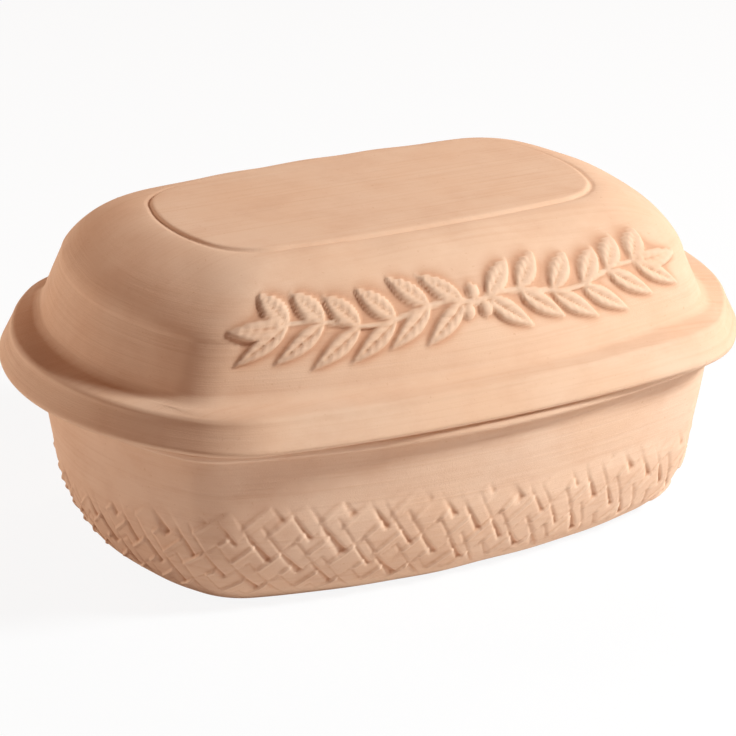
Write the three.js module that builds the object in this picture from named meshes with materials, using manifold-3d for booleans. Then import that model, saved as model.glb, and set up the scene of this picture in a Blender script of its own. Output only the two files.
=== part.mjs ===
// Clay roasting pot: a base pot of fired clay and the domed lid that rests on its rim.
// Millimetres, +Z up. X runs along the length, the front faces -Y, and the origin lies
// under the middle of the base, on the surface that the pot stands on.
import * as THREE from 'three';
import loadManifold from 'manifold-3d';

// Base pot, measured on the outside of its wall at the height of the rim
const BODY_LENGTH = 309.8;
const BODY_WIDTH = 226.4;
const BODY_SIDE_BOW = 34;
const BODY_END_BOW = 47.7;
const BODY_CORNER_RADIUS = 30;
const BASE_HEIGHT = 84.7;
const BASE_WALL = 9;
const FLOOR_THICKNESS = 10;

// Draft of the base wall, and the round bottom that turns it in to the flat foot
const WALL_DRAFT_DEGREES = 9.6;
const BOTTOM_CURVE_HEIGHT = 38.6;
const FOOT_INSET = 32.8;

// Lip around the mouth of the base
const LIP_OVERHANG = 5.5;
const LIP_HEIGHT = 5;
const LIP_EDGE_RADIUS = 2;
const LIP_FILLET = 3.5;
const MOUTH_EDGE_RADIUS = 1.5;

// Fit of the lid on the base: a tongue under the lid drops into a rebate in the mouth
const SEAT_CLEARANCE = 0.3;
const TONGUE_DEPTH = 5;
const TONGUE_THICKNESS = 5.5;
const TONGUE_EDGE_RADIUS = 1.5;
const TONGUE_SIDE_CLEARANCE = 0.8;
const TONGUE_END_CLEARANCE = 3;
const REBATE_RUN_OUT = 3;

// Flange of the lid, which stands out further at the two ends to give a hold
const FLANGE_SIDE_OVERHANG = 7.9;
const FLANGE_END_OVERHANG = 17.6;
const FLANGE_SIDE_BOW = 24.6;
const FLANGE_END_BOW = 68.4;
const FLANGE_CORNER_RADIUS = 53;
const BAND_HEIGHT = 15.1;
const BAND_LEAN = 5.1;
const BAND_LOWER_RADIUS = 2.5;
const BAND_UPPER_RADIUS = 3;
const SHELF_RISE = 1.1;

// Dome of the lid: a leaning wall, then a round shoulder up to the panel on top
const DOME_SIDE_SET_BACK = 6.7;
const DOME_END_SET_BACK = 3.2;
const DOME_HEIGHT = 50.2;
const DOME_FOOT_FILLET = 7;
const DOME_WALL_HEIGHT = 24.6;
const DOME_WALL_LEAN = 10.7;
const DOME_SHOULDER_EXPONENT = 1.44;
const LID_WALL = 8.5;

// Raised flat panel on top of the lid
const PANEL_LENGTH = 200.2;
const PANEL_WIDTH = 106.2;
const PANEL_SIDE_BOW = 7.5;
const PANEL_END_BOW = 16.1;
const PANEL_CORNER_RADIUS = 25;
const PANEL_STEP = 1.2;

// Basket weave around the lower wall of the base: one set of strips falls to the right and one
// rises. A falling strip passes over WEAVE_FLOAT rising ones in every WEAVE_CYCLE, and its right
// neighbour does so WEAVE_STEP strips lower. Heights are measured up the wall from the foot.
const WEAVE_REPEATS = 13;
const WEAVE_CYCLE = 8;
const WEAVE_FLOAT = 3;
const WEAVE_STEP = 3;
const FALLING_DEGREES = 62;
const RISING_DEGREES = 38;
const WEAVE_BOTTOM = 12;
const WEAVE_TOP = 55;
const WEAVE_RELIEF = 1.2;
const STRIP_EDGE = 0.9;
const STRIP_END = 1.6;

// Garland of leaves along each long side of the dome, with berries at its middle
const GARLAND_HEIGHT = 26;
const LEAF_PAIRS = 6;
const LEAF_PITCH = 17;
const LEAF_LENGTH = 27;
const LEAF_WIDTH = 11;
const LEAF_TILT_DEGREES = 38;
const LEAF_RELIEF = 2.2;
const STEM_WIDTH = 4.2;
const STEM_RELIEF = 1.8;
const STEM_WAVE = 2.6;
const BERRY_RADIUS = 3.6;
const BERRY_RING_RADIUS = 5.4;
const RELIEF_ROOT = 1.5;

// Shares of a leaf: where its crests and stations lie, how deep its groove is, and where the
// first pair and the last leaf sit along the pitch
const CREST_SHARE = 0.65;
const LEAF_STATIONS = [0.1, 0.4, 0.8];
const LEAF_GROOVE_SHARE = 0.6;
const FIRST_LEAF_SHARE = 0.35;

// How full a leaf's outline is towards its base and over all, and shares of a berry: where its
// stations, its shoulders and its ends lie
const LEAF_BASE_POWER = 0.8;
const LEAF_FULL_POWER = 0.85;
const BERRY_STATION_SHARE = 0.5;
const BERRY_SHOULDER_SHARE = 0.8;
const BERRY_END_SHARE = 1.2;

// Tightest corner that an outline keeps when it is taken in
const TIGHTEST_CORNER = 28;

// Fineness of the facets: steps along each arc of a quarter outline, and along a section
const ARC_STEPS = [6, 6, 7];
const EDGE_STEPS = 3;
const CURVE_STEPS = 7;
const WALL_FINENESS = 4;
const STEM_STEPS = 16;
const NORMAL_STEP = 0.5;

const BASE_COLOUR = 0xdcab8a;
const LID_COLOUR = 0xe2b290;
const CLAY_ROUGHNESS = 0.92;

// Outlines in plan: a rectangle with bowed sides, bowed ends and round corners

function outline(halfLength, halfWidth, sideBow, endBow, corner) {
  return {
    halfLength,
    halfWidth,
    sideRadius: (halfLength ** 2 + sideBow ** 2) / (2 * sideBow),
    endRadius: (halfWidth ** 2 + endBow ** 2) / (2 * endBow),
    corner,
  };
}

function inset(plan, sides, ends = sides) {
  return {
    halfLength: plan.halfLength - ends,
    halfWidth: plan.halfWidth - sides,
    sideRadius: plan.sideRadius - sides,
    endRadius: plan.endRadius - ends,
    corner: Math.max(plan.corner - sides, TIGHTEST_CORNER),
  };
}

function blend(from, to, share) {
  const mixed = {};
  for (const key of Object.keys(from)) {
    mixed[key] = THREE.MathUtils.lerp(from[key], to[key], share);
  }
  return mixed;
}

// The corner's centre lies at a known distance from the centres of both bows
function cornerCentre(sideCentre, sideDistance, endCentre, endDistance) {
  const between = endCentre.clone().sub(sideCentre);
  const gap = between.length();
  const along = (gap ** 2 + sideDistance ** 2 - endDistance ** 2) / (2 * gap);
  const across = Math.sqrt(Math.max(sideDistance ** 2 - along ** 2, 0));
  const direction = between.divideScalar(gap);
  const outwards = new THREE.Vector2(-direction.y, direction.x);
  outwards.multiplyScalar(Math.sign(outwards.x + outwards.y));
  return sideCentre.clone()
    .addScaledVector(direction, along)
    .addScaledVector(outwards, across);
}

// The three arcs of a quarter outline, from the middle of the +X end to the middle of the side
function quarterArcs({ halfLength, halfWidth, sideRadius, endRadius, corner }) {
  const sideCentre = new THREE.Vector2(0, halfWidth - sideRadius);
  const endCentre = new THREE.Vector2(halfLength - endRadius, 0);
  const centre = cornerCentre(sideCentre, sideRadius - corner, endCentre, endRadius - corner);
  const endAngle = Math.atan2(centre.y - endCentre.y, centre.x - endCentre.x);
  const sideAngle = Math.atan2(centre.y - sideCentre.y, centre.x - sideCentre.x);
  return [
    { centre: endCentre, radius: endRadius, from: 0, to: endAngle },
    { centre, radius: corner, from: endAngle, to: sideAngle },
    { centre: sideCentre, radius: sideRadius, from: sideAngle, to: Math.PI / 2 },
  ];
}

function arcLength({ radius, from, to }) {
  return radius * (to - from);
}

function quarterLength(plan) {
  return quarterArcs(plan).reduce((sum, arc) => sum + arcLength(arc), 0);
}

// A place around every outline of a section: its quarter, the arc there and the share of it.
// Quarters run anticlockwise from the middle of the +X end.
function placeAt(plan, along) {
  const quarterSpan = quarterLength(plan);
  const quarter = THREE.MathUtils.euclideanModulo(Math.floor(along / quarterSpan), 4);
  const into = THREE.MathUtils.euclideanModulo(along, quarterSpan);
  const arcs = quarterArcs(plan);
  let rest = quarter % 2 === 0 ? into : quarterSpan - into;
  let arc = 0;
  while (arc < arcs.length - 1 && rest > arcLength(arcs[arc])) {
    rest -= arcLength(arcs[arc]);
    arc += 1;
  }
  return { quarter, arc, share: rest / arcLength(arcs[arc]) };
}

function pointAt(plan, { quarter, arc, share }) {
  const { centre, radius, from, to } = quarterArcs(plan)[arc];
  const angle = THREE.MathUtils.lerp(from, to, share);
  const x = centre.x + radius * Math.cos(angle);
  const y = centre.y + radius * Math.sin(angle);
  return new THREE.Vector2(quarter === 1 || quarter === 2 ? -x : x, quarter > 1 ? -y : y);
}

// Places in even steps along each arc of the four quarters
function facetPlaces() {
  const quarterPlaces = ARC_STEPS.flatMap((steps, arc) => (
    Array.from({ length: steps }, (_, step) => ({ arc, share: step / steps }))
  ));
  const mirrored = ARC_STEPS.flatMap((steps, arc) => (
    Array.from({ length: steps }, (_, step) => ({ arc, share: (step + 1) / steps }))
  )).reverse();
  return [0, 1, 2, 3].flatMap((quarter) => (
    (quarter % 2 === 0 ? quarterPlaces : mirrored).map((place) => ({ ...place, quarter }))
  ));
}

// Sections: lists of rows, each an outline at a height

function row(plan, z) {
  return { plan, z };
}

// Rows along an arc of the section. Angle 0 points outwards and 90 degrees points up.
function arcRows(plan, centreInset, centreZ, radius, fromDegrees, toDegrees) {
  return Array.from({ length: EDGE_STEPS + 1 }, (_, step) => {
    const degrees = THREE.MathUtils.lerp(fromDegrees, toDegrees, step / EDGE_STEPS);
    const angle = THREE.MathUtils.degToRad(degrees);
    const distance = centreInset - radius * Math.cos(angle);
    return row(inset(plan, distance), centreZ + radius * Math.sin(angle));
  });
}

// How far up the section each row lies, measured at the middle of a long side
function sectionLengths(rows) {
  let length = 0;
  return rows.map(({ plan, z }, level) => {
    if (level > 0) {
      const below = rows[level - 1];
      length += Math.hypot(plan.halfWidth - below.plan.halfWidth, z - below.z);
    }
    return length;
  });
}

function rowAt(rows, up) {
  const lengths = sectionLengths(rows);
  const above = THREE.MathUtils.clamp(lengths.findIndex((l) => l > up), 1, rows.length - 1);
  const share = (up - lengths[above - 1]) / (lengths[above] - lengths[above - 1]);
  const plan = blend(rows[above - 1].plan, rows[above].plan, share);
  return row(plan, THREE.MathUtils.lerp(rows[above - 1].z, rows[above].z, share));
}

// A skin over rows: the point at a distance around a reference outline and up the section,
// standing proud of the clay by a given height
function skinOver(rows, reference) {
  const onSkin = (along, up) => {
    const { plan, z } = rowAt(rows, up);
    const { x, y } = pointAt(plan, placeAt(reference, along));
    return new THREE.Vector3(x, y, z);
  };
  return (along, up, proud) => {
    const point = onSkin(along, up);
    const around = onSkin(along + NORMAL_STEP, up).sub(onSkin(along - NORMAL_STEP, up));
    const upwards = onSkin(along, up + NORMAL_STEP).sub(onSkin(along, up - NORMAL_STEP));
    return point.addScaledVector(around.cross(upwards).normalize(), proud);
  };
}

// Vertices and triangles of a closed skin, added ring by ring and facet by facet
class Skin {
  positions = [];

  indices = [];

  add({ x, y, z }) {
    this.positions.push(x, y, z);
    return this.positions.length / 3 - 1;
  }

  ring({ plan, z }, places) {
    return places.map((place) => {
      const { x, y } = pointAt(plan, place);
      return this.add({ x, y, z });
    });
  }

  quad(a, b, c, d) {
    this.indices.push(a, b, c, a, c, d);
  }

  between(lower, upper) {
    lower.forEach((_, column) => {
      const next = (column + 1) % lower.length;
      this.quad(lower[column], lower[next], upper[next], upper[column]);
    });
  }

  stack(rings) {
    rings.slice(1).forEach((ring, level) => this.between(rings[level], ring));
  }

  // Closes a ring on a point of the axis, below the first ring or above the last one
  cap(ring, z, below) {
    const pole = this.add({ x: 0, y: 0, z });
    ring.forEach((vertex, column) => {
      const next = ring[(column + 1) % ring.length];
      this.indices.push(pole, below ? next : vertex, below ? vertex : next);
    });
  }

  geometry() {
    const geometry = new THREE.BufferGeometry();
    geometry.setAttribute('position', new THREE.Float32BufferAttribute(this.positions, 3));
    geometry.setIndex(this.indices);
    geometry.computeVertexNormals();
    return geometry;
  }
}

// Joining of closed skins

const wasm = await loadManifold();
wasm.setup();

function solidOf(skin) {
  return new wasm.Manifold(new wasm.Mesh({
    numProp: 3,
    vertProperties: new Float32Array(skin.positions),
    triVerts: new Uint32Array(skin.indices),
  }));
}

function joined(skin, reliefs) {
  const solid = reliefs.reduce((sum, relief) => sum.add(solidOf(relief)), solidOf(skin));
  const { vertProperties, triVerts } = solid.getMesh();
  const whole = new Skin();
  whole.positions = Array.from(vertProperties);
  whole.indices = Array.from(triVerts);
  return whole;
}

const body = outline(
  BODY_LENGTH / 2,
  BODY_WIDTH / 2,
  BODY_SIDE_BOW,
  BODY_END_BOW,
  BODY_CORNER_RADIUS,
);

// Base pot: rows from the middle of the foot, up the outside, over the rim, down to the floor

function draftAt(z) {
  return Math.tan(THREE.MathUtils.degToRad(WALL_DRAFT_DEGREES)) * (BASE_HEIGHT - z);
}

// Quarter ellipse from the foot's edge up into the drafted wall, on either face of the wall
function bottomCurve(depth, footZ, steps = CURVE_STEPS) {
  const turnIn = FOOT_INSET - draftAt(0);
  return Array.from({ length: steps + 1 }, (_, step) => {
    const angle = (step / steps) * (Math.PI / 2);
    const z = THREE.MathUtils.lerp(footZ, BOTTOM_CURVE_HEIGHT, 1 - Math.cos(angle));
    return row(inset(body, depth + draftAt(z) + turnIn * (1 - Math.sin(angle))), z);
  });
}

function rimRows() {
  const lipUnderside = BASE_HEIGHT - LIP_HEIGHT;
  const lipEdge = LIP_EDGE_RADIUS - LIP_OVERHANG;
  const filletZ = lipUnderside - LIP_FILLET;
  const mouthEdge = BASE_WALL - MOUTH_EDGE_RADIUS;
  const rebateFloor = BASE_HEIGHT - TONGUE_DEPTH - TONGUE_END_CLEARANCE;
  const wallTop = rebateFloor - REBATE_RUN_OUT;
  return [
    ...arcRows(body, draftAt(filletZ) - LIP_FILLET, filletZ, LIP_FILLET, 180, 90),
    ...arcRows(body, lipEdge, lipUnderside + LIP_EDGE_RADIUS, LIP_EDGE_RADIUS, -90, 0),
    ...arcRows(body, lipEdge, BASE_HEIGHT - LIP_EDGE_RADIUS, LIP_EDGE_RADIUS, 0, 90),
    ...arcRows(body, mouthEdge, BASE_HEIGHT - MOUTH_EDGE_RADIUS, MOUTH_EDGE_RADIUS, 90, 180),
    row(inset(body, BASE_WALL), rebateFloor),
    row(inset(body, BASE_WALL + draftAt(wallTop)), wallTop),
    ...bottomCurve(BASE_WALL, FLOOR_THICKNESS).reverse(),
  ];
}

// The weave is a lattice of lozenges, one for each crossing of a falling and a rising strip.
// A corner lies at a count of falling strips and at a level, which is that count plus the
// count of rising strips. All corners of a level lie at the same height.
const WEAVE_STRIPS = WEAVE_REPEATS * WEAVE_CYCLE;

function placeInCycle(falling, rising) {
  return THREE.MathUtils.euclideanModulo(rising + WEAVE_STEP * falling, WEAVE_CYCLE);
}

// Whether the falling strip is on top at a crossing, and how far along its float that lies
function stripOnTop(falling, rising) {
  const place = placeInCycle(falling, rising);
  if (place < WEAVE_FLOAT) {
    return { falls: true, along: place };
  }
  let along = 0;
  while (along < WEAVE_CYCLE && placeInCycle(falling - along - 1, rising) >= WEAVE_FLOAT) {
    along += 1;
  }
  return { falls: false, along };
}

// Floats of the weave between two levels: each starts at a crossing and runs on up its strip
function weaveFloats(bottom, top) {
  const floats = new Map();
  for (let level = bottom; level <= top - 2; level += 1) {
    for (let falling = 0; falling < WEAVE_STRIPS; falling += 1) {
      const { falls, along } = stripOnTop(falling, level - falling);
      const start = THREE.MathUtils.euclideanModulo(falling - (falls ? 0 : along), WEAVE_STRIPS);
      const name = [falls, level - along, start].join(' ');
      if (!floats.has(name)) {
        floats.set(name, { falls, level, falling, length: 0 });
      }
      floats.get(name).length += 1;
    }
  }
  return [...floats.values()];
}

// One float: a flat strip that slopes down to the lattice along its sides and at its ends
function addFloat(skin, lattice, { falls, level, falling, length }) {
  const place = (along, across) => [level + along + across, falling + (falls ? across : along)];
  const slant = Math.sin(THREE.MathUtils.degToRad(falls ? FALLING_DEGREES : RISING_DEGREES));
  const edge = STRIP_EDGE / (lattice.pitch * slant);
  const end = (STRIP_END * slant) / lattice.rise;
  const sides = [0, 1].map((across) => (
    Array.from({ length: length + 1 }, (_, along) => lattice.corner(...place(along, across)))
  ));
  const crest = [[end, edge], [length - end, edge], [length - end, 1 - edge], [end, 1 - edge]]
    .map((corner) => skin.add(lattice.point(...place(...corner), WEAVE_RELIEF)));
  const facet = (a, b, c) => skin.indices.push(...(falls ? [a, c, b] : [a, b, c]));
  const middle = Math.ceil(length / 2);
  for (let along = 0; along < length; along += 1) {
    const near = along < middle;
    facet(sides[0][along], sides[0][along + 1], crest[near ? 0 : 1]);
    facet(sides[1][along + 1], sides[1][along], crest[near ? 3 : 2]);
  }
  facet(sides[0][middle], crest[1], crest[0]);
  facet(sides[1][middle], crest[3], crest[2]);
  facet(sides[0][length], sides[1][length], crest[2]);
  facet(sides[0][length], crest[2], crest[1]);
  facet(sides[1][0], sides[0][0], crest[0]);
  facet(sides[1][0], crest[0], crest[3]);
  facet(crest[0], crest[1], crest[2]);
  facet(crest[0], crest[2], crest[3]);
}

function baseSkin() {
  const skin = new Skin();
  const rim = rimRows();
  const wall = [...bottomCurve(0, 0, WALL_FINENESS * CURVE_STEPS), rim[0]];
  const reference = rowAt([wall.at(-2), rim[0]], (rim[0].z - BOTTOM_CURVE_HEIGHT) / 2).plan;
  const pitch = 4 * quarterLength(reference) / WEAVE_STRIPS;
  const fallingRun = 1 / Math.tan(THREE.MathUtils.degToRad(FALLING_DEGREES));
  const risingRun = 1 / Math.tan(THREE.MathUtils.degToRad(RISING_DEGREES));
  const rise = pitch / (fallingRun + risingRun);
  const around = (level, falling) => falling * pitch - level * rise * fallingRun;
  const onWall = skinOver(wall, reference);
  const bottom = Math.ceil(WEAVE_BOTTOM / rise);
  const top = Math.floor(WEAVE_TOP / rise);
  const placesAt = (level) => Array.from({ length: WEAVE_STRIPS }, (_, falling) => (
    placeAt(reference, around(level, falling))
  ));

  const rings = [];
  for (let level = bottom; level <= top; level += 1) {
    rings[level] = skin.ring(rowAt(wall, level * rise), placesAt(level));
  }
  const lattice = {
    pitch,
    rise,
    corner: (level, falling) => (
      rings[level][THREE.MathUtils.euclideanModulo(falling, WEAVE_STRIPS)]
    ),
    point: (level, falling, proud) => onWall(around(level, falling), level * rise, proud),
  };
  weaveFloats(bottom, top).forEach((float) => addFloat(skin, lattice, float));
  for (let falling = 0; falling < WEAVE_STRIPS; falling += 1) {
    skin.indices.push(
      lattice.corner(bottom, falling),
      lattice.corner(bottom, falling + 1),
      lattice.corner(bottom + 1, falling + 1),
      lattice.corner(top, falling + 1),
      lattice.corner(top, falling),
      lattice.corner(top - 1, falling),
    );
  }

  const lengths = sectionLengths(wall);
  const below = wall.filter((_, level) => (
    level % WALL_FINENESS === 0 && lengths[level] + rise / 2 < bottom * rise
  ));
  const footRings = below.map((each) => skin.ring(each, placesAt(bottom)));
  skin.stack([...footRings, rings[bottom]]);
  const rimRings = rim.map((each) => skin.ring(each, placesAt(top)));
  skin.stack([rings[top], ...rimRings]);
  skin.cap(footRings[0], below[0].z, true);
  skin.cap(rimRings.at(-1), rim.at(-1).z, false);
  return skin;
}

// Lid: rows from the middle of its ceiling, down the inside, under the flange, up to the panel

// A dome's shoulder, from the top of its leaning wall to the edge of its flat top
function shoulderRows(foot, top, footZ, topZ, wallHeight) {
  const wallShare = DOME_WALL_LEAN / (foot.halfWidth - top.halfWidth);
  const power = 2 / DOME_SHOULDER_EXPONENT;
  return Array.from({ length: CURVE_STEPS + 1 }, (_, step) => {
    const angle = (step / CURVE_STEPS) * (Math.PI / 2);
    const share = THREE.MathUtils.lerp(wallShare, 1, 1 - Math.cos(angle) ** power);
    const z = THREE.MathUtils.lerp(footZ + wallHeight, topZ, Math.sin(angle) ** power);
    return row(blend(foot, top, share), z);
  });
}

// Fillet between the flange's shelf and the leaning wall of the dome
function domeFootRows(foot, shelfZ) {
  const lean = Math.atan2(DOME_WALL_LEAN, DOME_WALL_HEIGHT);
  const centreInset = -DOME_FOOT_FILLET * ((1 - Math.sin(lean)) / Math.cos(lean));
  const centreZ = shelfZ + DOME_FOOT_FILLET;
  const wallDegrees = THREE.MathUtils.radToDeg(lean) - 180;
  return arcRows(foot, centreInset, centreZ, DOME_FOOT_FILLET, -90, wallDegrees);
}

function lidRows() {
  const seatZ = BASE_HEIGHT + SEAT_CLEARANCE;
  const tongueZ = seatZ - TONGUE_DEPTH;
  const bandTopZ = seatZ + BAND_HEIGHT;
  const shelfZ = bandTopZ + SHELF_RISE;
  const domeTopZ = shelfZ + DOME_HEIGHT;
  const tongue = inset(body, BASE_WALL + TONGUE_SIDE_CLEARANCE);
  const tongueInside = inset(tongue, TONGUE_THICKNESS);
  const flange = outline(
    body.halfLength + FLANGE_END_OVERHANG,
    body.halfWidth + FLANGE_SIDE_OVERHANG,
    FLANGE_SIDE_BOW,
    FLANGE_END_BOW,
    FLANGE_CORNER_RADIUS,
  );
  const domeFoot = inset(body, DOME_SIDE_SET_BACK, DOME_END_SET_BACK);
  const panel = outline(
    PANEL_LENGTH / 2,
    PANEL_WIDTH / 2,
    PANEL_SIDE_BOW,
    PANEL_END_BOW,
    PANEL_CORNER_RADIUS,
  );
  const upperEdge = BAND_LEAN + BAND_UPPER_RADIUS;
  const ceiling = shoulderRows(
    tongueInside,
    panel,
    shelfZ,
    domeTopZ - LID_WALL,
    DOME_WALL_HEIGHT - LID_WALL / 2,
  );
  const hidden = [
    ...ceiling.reverse(),
    row(tongueInside, shelfZ),
    row(tongueInside, tongueZ),
    ...arcRows(tongue, TONGUE_EDGE_RADIUS, tongueZ + TONGUE_EDGE_RADIUS, TONGUE_EDGE_RADIUS, -90, 0),
    row(tongue, seatZ),
    ...arcRows(flange, BAND_LOWER_RADIUS, seatZ + BAND_LOWER_RADIUS, BAND_LOWER_RADIUS, -90, 0),
    ...arcRows(flange, upperEdge, bandTopZ - BAND_UPPER_RADIUS, BAND_UPPER_RADIUS, 0, 90),
  ];
  const footFillet = domeFootRows(domeFoot, shelfZ);
  const dome = [
    footFillet.at(-1),
    ...shoulderRows(domeFoot, inset(panel, -PANEL_STEP), shelfZ, domeTopZ, DOME_WALL_HEIGHT),
  ];
  const rows = [...hidden, ...footFillet.slice(0, -1), ...dome, row(panel, domeTopZ + PANEL_STEP)];
  return { rows, dome };
}

// Leaf garland: each leaf, berry and stem is a closed solid with its root sunk into the dome

// Solid along a straight or waving line on the dome. A station has its place, half width and
// the heights of its crests and its middle; across is the direction of its width.
function reliefAlong(onDome, across, start, stations, end) {
  const skin = new Skin();
  const points = stations.map(({ along, up, half, crest, middle }) => {
    const slope = 1 + (1 - CREST_SHARE) * (RELIEF_ROOT / crest);
    const section = [
      [-slope, -RELIEF_ROOT], [-CREST_SHARE, crest], [0, middle], [CREST_SHARE, crest],
      [slope, -RELIEF_ROOT],
    ];
    return section.map(([share, proud]) => skin.add(
      onDome(along + across.x * half * share, up + across.y * half * share, proud),
    ));
  });
  skin.stack(points.map((section) => section.slice().reverse()));
  [[start, points[0], true], [end, points.at(-1), false]].forEach(([tip, section, first]) => {
    const point = skin.add(onDome(tip.x, tip.y, -RELIEF_ROOT));
    section.forEach((vertex, side) => {
      const next = section[(side + 1) % section.length];
      skin.indices.push(point, first ? vertex : next, first ? next : vertex);
    });
  });
  return skin;
}

function leafHalfWidth(share) {
  return (LEAF_WIDTH / 2) * Math.sin(Math.PI * share ** LEAF_BASE_POWER) ** LEAF_FULL_POWER;
}

function leaf(onDome, root, heading) {
  const forwards = new THREE.Vector2(Math.cos(heading), Math.sin(heading));
  const across = new THREE.Vector2(-forwards.y, forwards.x);
  const spine = (share) => root.clone().addScaledVector(forwards, share * LEAF_LENGTH);
  const stations = LEAF_STATIONS.map((share) => ({
    along: spine(share).x,
    up: spine(share).y,
    half: leafHalfWidth(share),
    crest: LEAF_RELIEF,
    middle: LEAF_RELIEF * LEAF_GROOVE_SHARE,
  }));
  return reliefAlong(onDome, across, root, stations, spine(1));
}

function stemHeight(along) {
  return GARLAND_HEIGHT + STEM_WAVE * Math.sin((Math.PI * Math.abs(along)) / (2 * LEAF_PITCH));
}

function berry(onDome, along, up) {
  const across = new THREE.Vector2(0, 1);
  const stations = [-BERRY_STATION_SHARE, BERRY_STATION_SHARE].map((share) => ({
    along: along + share * BERRY_RADIUS,
    up,
    half: BERRY_RADIUS * Math.sqrt(1 - share ** 2),
    crest: LEAF_RELIEF * BERRY_SHOULDER_SHARE,
    middle: LEAF_RELIEF,
  }));
  const tip = (side) => new THREE.Vector2(along + side * BERRY_END_SHARE * BERRY_RADIUS, up);
  return reliefAlong(onDome, across, tip(-1), stations, tip(1));
}

// A garland about the middle of one long side, given the distance of that middle around the dome
function garland(onDome, middle) {
  const reach = LEAF_PITCH * LEAF_PAIRS;
  const onStem = (along) => new THREE.Vector2(middle + along, stemHeight(along));
  const stations = Array.from({ length: STEM_STEPS + 1 }, (_, step) => {
    const along = THREE.MathUtils.lerp(-reach, reach, step / STEM_STEPS);
    return {
      along: middle + along,
      up: stemHeight(along),
      half: STEM_WIDTH / 2,
      crest: STEM_RELIEF,
      middle: STEM_RELIEF,
    };
  });
  const upwards = new THREE.Vector2(0, 1);
  const stem = reliefAlong(
    onDome, upwards, onStem(-reach - STEM_WIDTH), stations, onStem(reach + STEM_WIDTH),
  );
  const tilt = THREE.MathUtils.degToRad(LEAF_TILT_DEGREES);
  const leaves = [-1, 1].flatMap((side) => {
    const heading = side > 0 ? 0 : Math.PI;
    const pairs = Array.from({ length: LEAF_PAIRS }, (_, pair) => (
      onStem(side * (pair + FIRST_LEAF_SHARE) * LEAF_PITCH)
    ));
    const tip = leaf(onDome, onStem(side * (reach - FIRST_LEAF_SHARE * LEAF_PITCH)), heading);
    return [
      ...pairs.flatMap((root) => [-tilt, tilt].map((turn) => leaf(onDome, root, heading + turn))),
      tip,
    ];
  });
  const berries = [0, 1, 2].map((count) => {
    const angle = Math.PI / 2 + (count * 2 * Math.PI) / 3;
    const from = BERRY_RING_RADIUS;
    return berry(onDome, middle + from * Math.cos(angle), GARLAND_HEIGHT + from * Math.sin(angle));
  });
  return [stem, ...leaves, ...berries];
}

function lidSkin() {
  const { rows, dome } = lidRows();
  const skin = new Skin();
  const places = facetPlaces();
  const rings = rows.map((each) => skin.ring(each, places));
  skin.stack(rings);
  skin.cap(rings[0], rows[0].z, true);
  skin.cap(rings.at(-1), rows.at(-1).z, false);
  const reference = blend(dome[0].plan, dome[1].plan, 0.5);
  const onDome = skinOver(dome, reference);
  const quarter = quarterLength(reference);
  return joined(skin, [quarter, 3 * quarter].flatMap((middle) => garland(onDome, middle)));
}

function clayPiece(name, skin, colour) {
  const material = new THREE.MeshStandardMaterial({
    color: colour,
    roughness: CLAY_ROUGHNESS,
    metalness: 0,
  });
  const mesh = new THREE.Mesh(skin.geometry(), material);
  mesh.name = name;
  return mesh;
}

const roaster = new THREE.Group();
roaster.add(clayPiece('base_pot', baseSkin(), BASE_COLOUR));
roaster.add(clayPiece('lid', lidSkin(), LID_COLOUR));

export default roaster;
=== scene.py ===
# Clay roasting pot: the fired clay, its weave, its leaf ornament and the studio around it.
# Lengths below are in millimetres, and every mesh is made in metres in the frame of the solids.
import math

import bpy
import numpy as np
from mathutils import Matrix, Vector


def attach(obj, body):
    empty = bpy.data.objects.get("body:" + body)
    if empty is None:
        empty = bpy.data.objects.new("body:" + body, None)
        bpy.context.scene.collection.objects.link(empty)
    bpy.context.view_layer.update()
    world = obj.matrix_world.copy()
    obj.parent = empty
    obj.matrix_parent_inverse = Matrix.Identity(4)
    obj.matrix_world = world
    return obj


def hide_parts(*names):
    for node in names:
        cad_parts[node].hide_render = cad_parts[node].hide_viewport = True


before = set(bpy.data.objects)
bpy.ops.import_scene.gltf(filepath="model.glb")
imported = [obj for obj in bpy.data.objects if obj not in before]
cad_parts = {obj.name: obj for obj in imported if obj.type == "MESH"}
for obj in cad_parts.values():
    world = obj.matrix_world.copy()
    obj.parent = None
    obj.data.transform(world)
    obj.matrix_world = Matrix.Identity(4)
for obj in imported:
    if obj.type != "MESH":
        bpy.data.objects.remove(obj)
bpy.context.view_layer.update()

MM = 0.001
SEED = 7

# Base pot, as in the solids
BODY_LENGTH = 309.8
BODY_WIDTH = 226.4
BODY_SIDE_BOW = 34.0
BODY_END_BOW = 47.7
BODY_CORNER_RADIUS = 30.0
BASE_HEIGHT = 84.7
BASE_WALL = 9.0
FLOOR_THICKNESS = 10.0
WALL_DRAFT_DEGREES = 9.6
BOTTOM_CURVE_HEIGHT = 38.6
FOOT_INSET = 32.8
LIP_OVERHANG = 5.5
LIP_HEIGHT = 5.0
LIP_EDGE_RADIUS = 2.0
LIP_FILLET = 3.5
MOUTH_EDGE_RADIUS = 1.5
TIGHTEST_CORNER = 28.0

# Fit of the lid on the base
SEAT_CLEARANCE = 0.3
TONGUE_DEPTH = 5.0
TONGUE_THICKNESS = 5.5
TONGUE_EDGE_RADIUS = 1.5
TONGUE_SIDE_CLEARANCE = 0.8
TONGUE_END_CLEARANCE = 3.0
REBATE_RUN_OUT = 3.0

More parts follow.
